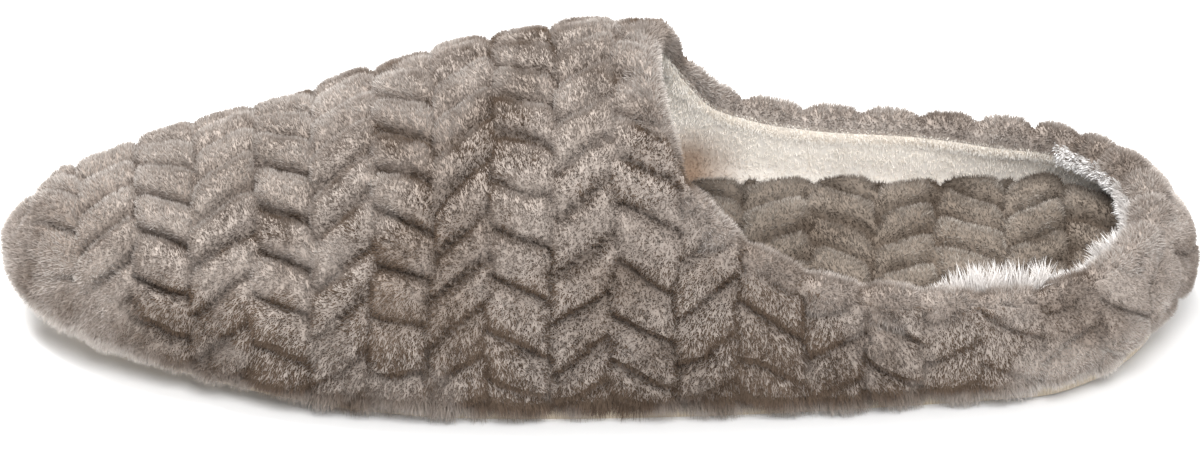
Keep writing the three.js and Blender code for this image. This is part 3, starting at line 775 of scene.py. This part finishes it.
def rim_skin():
    """The turned edge as a soft roll, pinched where the pads of the upper meet it."""
    centre, outward, up, u = rim_path()
    angle = 2 * np.pi * np.arange(RIM_SIDES) / RIM_SIDES
    to_line = np.abs((u / COLUMN + 0.5) % 1 - 0.5) * COLUMN
    pinched = np.clip(PINCH_MIDDLE + PINCH_MOTTLE * MOTTLE(centre, PINCH_SCALE), PINCH_LEAST, 1)
    pinch = 1 - PINCH * pinched * hump(to_line, middle=0, width=PINCH_WIDTH)
    behind, far = behind_throat(centre[:, :1]), far_side(centre[:, 1:2])
    centre = centre + (RIM_RAISE * behind * far - RIM_DROP) * up
    inner = np.clip(INNER_PINCH + np.cos(angle), 0, 1)
    pinch = 1 - (1 - pinch[:, None]) * inner
    lumps = (1 + RIM_LUMPS * WARP(centre, RIM_LUMPS_SCALE))[:, None]
    radius = (RIM_CORE * (RIM_FRONT_SIZE + RIM_BACK_SIZE * behind) * pinch * lumps)[..., None]
    outer = OUTER_REACH + OUTER_REACH_HEEL * rise(centre[:, :1], start=108, width=14)
    reach = np.where(np.cos(angle) > 0, outer, 1.0) * np.cos(angle)
    ring = reach[..., None] * outward[:, None] + np.sin(angle)[None, :, None] * up[:, None]
    points = centre[:, None] + radius * ring
    rows = len(centre)
    i, j = np.meshgrid(np.arange(rows), np.arange(RIM_SIDES), indexing="ij")
    at = lambda a, b: (a % rows) * RIM_SIDES + b % RIM_SIDES
    faces = np.stack([at(i, j), at(i + 1, j), at(i + 1, j + 1), at(i, j + 1)], axis=-1).reshape(-1, 4)
    values = {"angle_cos": np.tile(np.cos(angle), rows), "angle_sin": np.tile(np.sin(angle), rows),
              "pinch": pinch.ravel(), "heel": np.repeat(centre[:, 0], RIM_SIDES),
              "side": np.repeat(centre[:, 1], RIM_SIDES)}
    flat = points.reshape(-1, 3)
    a, b, c = flat[faces[0, 0]], flat[faces[0, 1]], flat[faces[0, 2]]
    if np.dot(np.cross(b - a, c - a), a - centre[0]) < 0:
        faces = faces[:, ::-1]
    return weld(flat, faces, values)


def lining_painted_shade(points):
    """Painted shade: the pile darker deep under the instep, and a little along the footbed."""
    deep = fall(points[:, 0], start=34, width=12) * fall(points[:, 2], start=33, width=9)
    seam = fall(points[:, 2], start=SEAT + FOOTBED_THICKNESS + 7, width=6)
    return DEEP_SHADE * deep + SEAM_SHADE * seam


def inset_outline(s, side, inset):
    """The form's widest line on one side, moved in level by the inset."""
    tau = np.full(len(s), side * np.pi / 2)
    normal = unit(shell_normal(s, tau) * [1, 1, 0])
    normal[0] = (-1, 0, 0)
    return shell_point(s, tau) - normal * inset


def footbed_outline(x):
    """The footbed's two edges at stations x."""
    edges = []
    for side in (-1, 1):
        p = inset_outline(np.linspace(0, LAST, 600), side, FOOTBED_INSET)
        keep = np.concatenate([[True], np.diff(np.maximum.accumulate(p[:, 0])) > 0])
        edges.append(np.interp(x, p[keep, 0], p[keep, 1]))
    return edges


def footbed_skin():
    """The footbed as a closed quilted slab with rolled edges."""
    tip = shell_point(0.0, TINY)[0] + FOOTBED_INSET
    back = LENGTH / 2 - FOOTBED_INSET
    turn = np.linspace(0, np.pi, FOOTBED_STATIONS)
    x = (tip + back) / 2 - (back - tip) / 2 * np.cos(turn)
    lateral, medial = footbed_outline(x)
    for end in (0, -1):
        lateral[end] = medial[end] = (lateral[end] + medial[end]) / 2
    across = np.sin(np.linspace(-np.pi / 2, np.pi / 2, FOOTBED_PLACES))
    middle, half = (lateral + medial) / 2, (medial - lateral) / 2
    grid_x = np.repeat(x[:, None], len(across), axis=1)
    grid_y = middle[:, None] + half[:, None] * across
    level = sole_line(np.minimum(grid_x, 0)) + SEAT + FOOTBED_THICKNESS
    u = np.clip(LENGTH / 2 + COLUMN - grid_x, 0, None)
    flat = np.stack([grid_x, grid_y, level], axis=-1)
    skew = np.full(grid_x.shape, FOOTBED_SKEW)
    relief = pad_relief(flat + FOOTBED_NOISE_PLACE, u, grid_y, FOOTBED_UNTIDY, skew)
    to_ends = np.minimum(grid_x - x[0], x[-1] - grid_x)
    edge = np.minimum(half[:, None] * (1 - np.abs(across)), to_ends)
    roll = np.clip(1 - edge / EDGE_ROLL, 0, 1)
    lumps = FOOTBED_LUMPS * MOTTLE(flat, FOOTBED_LUMPS_SCALE)
    top = level + FOOTBED_RELIEF * relief - FOOTBED_SINK + lumps - EDGE_DROP * (1 - np.sqrt(1 - roll ** 2))
    points = np.stack([grid_x, grid_y, top], axis=-1)
    bottom = points.copy()
    bottom[..., 2] = sole_line(grid_x) + SEAT + UNDERSIDE_GAP
    ring = np.concatenate([points, bottom[:, ::-1][:, 1:-1]], axis=1)
    underside = 0 * relief[:, 1:-1]
    values = {key: np.concatenate([data, underside], axis=1).ravel()
              for key, data in (("relief", relief), ("top", np.ones_like(relief)), ("edge", edge))}
    faces = grid_faces(*ring.shape[:2], closed=True)[:, ::-1]
    return weld(ring.reshape(-1, 3), faces, values)


def frame_shift():
    """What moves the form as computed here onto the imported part, by the outsole's corner."""
    s = np.linspace(0, LAST, LAST * 4 + 1)
    outline = np.vstack([inset_outline(s, side, OUTSOLE_INSET) for side in (-1, 1)])
    sole_low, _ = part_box("outsole")
    return np.array([sole_low.x / MM - outline[:, 0].min(), sole_low.y / MM - outline[:, 1].min(), 0.0])


def place(obj, material, slot, *nodes):
    obj.data.materials.append(material)
    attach(obj, "root")
    if nodes:
        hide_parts(*nodes)


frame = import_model()
SHIFT = frame_shift()

taupe = plush_material("taupe_plush", *TAUPE)
footbed_plush = plush_material("footbed_plush", *FOOTBED_TAUPE)
ivory = plush_material("lining_plush", *IVORY, mottle=0.03)
white = plush_material("white_edge_plush", *WHITE, mottle=0.15)
sole_cloth = cloth_material("sole_cloth", CREAM, CREAM_THREAD)

points, faces, values = outer_skin()
skin = new_mesh("upper_skin", points, faces, values={
    "height": 0.1 + 0.35 * values["relief"], "shade": 0 * values["u"], "tone": 0.3 + 0 * values["u"]})
place(skin, taupe, "plush", "upper")

rng = np.random.default_rng(7)
visible = np.where(values["under"] > 8, 0.0, 1.0)
roots, normals, at = scatter(points, faces, values, UPPER_STRANDS, rng, visible)
pads = np.clip(at["relief"] / 0.6, 0, 1)
above = roots[:, 2] - sole_line(roots[:, 0])
# Painted shade, together with the browner pile of the sides: the pile darkens as the form turns from its top
# down the sides, less at the heel and the toe, more on the forefoot's side.
side = np.clip(1.6 - 1.6 * at["form"][:, 2], 0, 1) ** 0.55
along = roots[:, 0]
at_heel = rise(along, start=75, width=30)
at_toe = fall(along, start=-88, width=25)
side = side * (1 - 0.6 * at_heel) * (1 - 0.65 * at_toe)
side = side * (1 + 0.35 * hump(along, middle=-66, width=20))
middle = hump(along, middle=-3, width=38)
crush = np.clip(0.5 + 1.3 * MOTTLE(roots, 12) + 0.5 * WARP(roots, 5), 0, 1)
length = (0.6 + 0.75 * pads) * (1 + 0.3 * at["low"])
normals = unit(normals + at["form"])
comb = 0.35 * clump_vector(roots, 19)
comb[:, 2] += 0.2 - 0.6 * crush * side
bottom = fall(above - SEAT, start=4, width=4)
hang = bottom * np.clip((along + 90) / 35, 0.3, 1) * (1 - 0.5 * rise(along, start=78, width=25))
length = length * (1 + 1.6 * hang) * (1 - 0.25 * rise(along, start=50, width=20) * (1 - bottom))
comb[:, 2] -= 0.9 * hang
# Painted shade in the grooves between the pads, less on the sides and along the bottom edge.
groove_shade = np.clip(1 - at["relief"] / (0.66 - 0.16 * side), 0, 1)
crushed = (0.30 + 0.46 * side) * (crush - 0.5) * (1 - 0.8 * bottom)
# The upper pile's tone: painted shade down the sides and in the grooves, random crushed patches, darker about
# the middle of the length, lighter along the bottom edge, and fine random tone.
dark = -0.17 + 1.05 * side + 0.38 * middle - 0.6 * bottom + crushed + 0.15 * WARP_ALONG(roots, 2.3)
dark = dark + (1.15 - 0.80 * side) * (1 - 0.7 * bottom) * groove_shade
order = np.argsort(at["u"])
for part, name in zip(np.array_split(order, 3), ("heel", "waist", "toe")):
    fur = pile("pile_" + name, roots[part], normals[part], length[part], rng, width=0.27, comb=comb[part],
               tone=dark[part], droop=0.15, lean=0.32, clump=0.3, floor=lambda x: sole_line(x) + 0.5)
    place(fur, taupe, "plush")

points, faces, values = rim_skin()
outward_share = values["angle_cos"]
rim = new_mesh("rim_skin", points, faces, values={
    "height": 0.3 + 0 * outward_share, "shade": 0 * outward_share, "tone": 0.3 * (outward_share > -0.45)})
place(rim, taupe, "plush")
rim.data.materials.append(ivory)
lined = (outward_share < -0.45) & (values["angle_sin"] < RIM_SEAM) & (values["angle_sin"] > -0.8)
rim.data.polygons.foreach_set("material_index", lined[faces].all(axis=1).astype(np.int32))
roots, normals, at = scatter(points, faces, values, RIM_STRANDS, rng)
near_side = at["side"] < 10
white_near, white_far = rise(at["heel"], start=71, width=12), rise(at["heel"], start=100, width=18)
white_share = np.where(near_side, white_near, white_far)
facing_in, underneath = at["angle_cos"] < -0.45, at["angle_sin"] < -0.8
is_white = facing_in & ~underneath & (white_share > 0.25)
is_ivory = facing_in & ~underneath & (white_share <= 0.25) & (at["angle_sin"] < RIM_SEAM)
is_taupe = ~is_white & ~is_ivory
patch = patches(MOTTLE, roots, scale=11, contrast=1.2)
# The rim pile's tone: random patches, and painted shade in the pinches where the pads meet the roll.
fur = pile("rim_pile", roots[is_taupe], normals[is_taupe], 1.9 * at["pinch"][is_taupe] ** 2, rng, width=0.27,
           tone=0.12 + 0.36 * patch[is_taupe] + 1.1 * (1 - at["pinch"][is_taupe]))
place(fur, taupe, "plush")
tuft = np.clip(0.4 + 1.9 * WARP(roots, 4.5), 0.05, 1.2) * white_share * np.where(near_side, 1.0, 0.2)
tuft = tuft * (1 - 0.5 * rise(at["heel"], start=105, width=12))
comb = np.zeros((len(roots), 3))
comb[:, 2] = 0.8 * white_share
fur = pile("rim_fringe", roots[is_ivory], normals[is_ivory], np.full(is_ivory.sum(), 1.1), rng, width=0.26,
           clump=0.3, clump_scale=3.0)
place(fur, ivory, "lining_plush")
fringe = 1.4 + 1.2 * white_share * near_side + 4.2 * tuft
# The white fringe's tone on the outer side, along the top of the roll, is painted shade against the lamps'
# light.
fur = pile("heel_fringe", roots[is_white], normals[is_white], fringe[is_white], rng, width=0.3,
           comb=comb[is_white], clump=0.4 + 0.9 * tuft[is_white, None], clump_scale=3.2, bent=True,
           tone=0.55 * (near_side & (at["angle_sin"] > 0.2))[is_white])
place(fur, white, "lining_plush")

points, faces, values = lining_skin()
# The lining's tone value is painted shade deep under the instep and along the footbed.
lining = new_mesh("lining_skin", points, faces, values={
    "height": 0.6 + 0 * values["s"], "shade": 0 * values["s"], "tone": lining_painted_shade(points)})
place(lining, ivory, "lining_plush")
weight = np.where(values["s"] > THROAT - 1.5, 1.0, 0.12)
roots, normals, at = scatter(points, faces, values, LINING_STRANDS, rng, weight)
fur = pile("lining_pile", roots, normals, np.full(len(roots), 1.1), rng, lean=0.5, width=0.26, droop=0.1,
           clump=0.3, clump_scale=3.0, tone=lining_painted_shade(roots))
place(fur, ivory, "lining_plush")

points, faces, values = footbed_skin()
# The footbed skin's tone is painted shade under the pile, darkest in the grooves between the pads.
footbed = new_mesh("footbed_skin", points, faces, values={
    "height": 0.1 + 0.1 * values["relief"], "shade": 0 * values["top"],
    "tone": 0.35 + 0.65 * np.clip(1 - values["relief"] / 0.7, 0, 1)})
place(footbed, footbed_plush, "footbed_plush", "footbed")
open_share = np.where(points[:, 0] > -25, 1.0, 0.05) * values["top"]
roots, normals, at = scatter(points, faces, values, FOOTBED_STRANDS, rng, open_share)
# The footbed pile's tone: painted shadow along its edges and at its heel end, painted shade in the grooves,
# random patches and fine random tone.
shadow = np.clip(1 - at["edge"] / 6, 0, 1) + 1.6 * rise(roots[:, 0], start=90, width=24)
patch = patches(MOTTLE, roots, scale=9, contrast=1.2)
# Painted shade in the grooves between the footbed's pads.
groove_shade = np.clip(1 - at["relief"] / 0.8, 0, 1)
tone = 1.7 * groove_shade + 0.4 * shadow + 0.55 * patch + 0.25 * WARP_ALONG(roots, 2.5) - 0.3
length = 0.45 + 0.6 * np.clip(at["relief"] / 0.6, 0, 1)
fur = pile("footbed_pile", roots, normals, length, rng, width=0.28,
           comb=0.25 * clump_vector(roots, 15), tone=tone)
place(fur, footbed_plush, "footbed_plush")

outsole = frame["nodes"]["outsole"]
outsole.data.materials.clear()
outsole.data.materials.append(sole_cloth)

scene = bpy.context.scene
scene.view_settings.view_transform = "Standard"

floor_mesh = bpy.data.meshes.new("floor")
floor_mesh.from_pydata([(-6, -6, 0), (6, -6, 0), (6, 6, 0), (-6, 6, 0)], [], [(0, 1, 2, 3)])
floor = bpy.data.objects.new("floor", floor_mesh)
floor_mesh.materials.append(plain_material("floor_paper", PAPER))
scene.collection.objects.link(floor)

world = bpy.data.worlds.new("studio")
world.use_nodes = True
world.node_tree.nodes["Background"].inputs["Color"].default_value = (1.0, 1.0, 1.0, 1)
world.node_tree.nodes["Background"].inputs["Strength"].default_value = 0.70
scene.world = world


def softbox(name, location, target, size, power):
    light = bpy.data.lights.new(name, "AREA")
    light.shape = "DISK"
    light.size = size
    light.energy = power
    obj = bpy.data.objects.new(name, light)
    obj.location = location
    obj.rotation_euler = (Vector(target) - Vector(location)).to_track_quat("-Z", "Y").to_euler()
    obj.visible_camera = False
    scene.collection.objects.link(obj)


softbox("top_light", (-0.4, 0.3, 1.2), (0, 0, 0.03), 0.8, 32)
softbox("front_light", (0.2, -0.9, 1.0), (0, 0, 0.03), 0.7, 17.5)

PHOTO_WIDTH, PHOTO_HEIGHT = 1200, 454
PIXELS_PER_MM = 4.477
PHOTO_TOE_COLUMN, PHOTO_FLOOR_ROW = 4, 321
PHOTO_X = PHOTO_TOE_COLUMN + LENGTH / 2 * PIXELS_PER_MM
ELEVATION = math.radians(31)
DISTANCE = 3.6
SENSOR_WIDTH = 36
centre_x = (PHOTO_WIDTH / 2 - PHOTO_X) / PIXELS_PER_MM
centre_up = (PHOTO_FLOOR_ROW - PHOTO_HEIGHT / 2) / PIXELS_PER_MM
target = Vector(((centre_x + SHIFT[0]) * MM, SHIFT[1] * MM, centre_up / math.cos(ELEVATION) * MM))
camera_data = bpy.data.cameras.new("camera")
camera_data.lens = SENSOR_WIDTH * DISTANCE / (PHOTO_WIDTH / PIXELS_PER_MM * MM)
camera_data.clip_start, camera_data.clip_end = 0.1, 50
camera = bpy.data.objects.new("camera", camera_data)
back = Vector((0, -math.cos(ELEVATION), math.sin(ELEVATION)))
camera.location = target + back * DISTANCE
camera.rotation_euler = (-back).to_track_quat("-Z", "Y").to_euler()
scene.collection.objects.link(camera)
scene.camera = camera
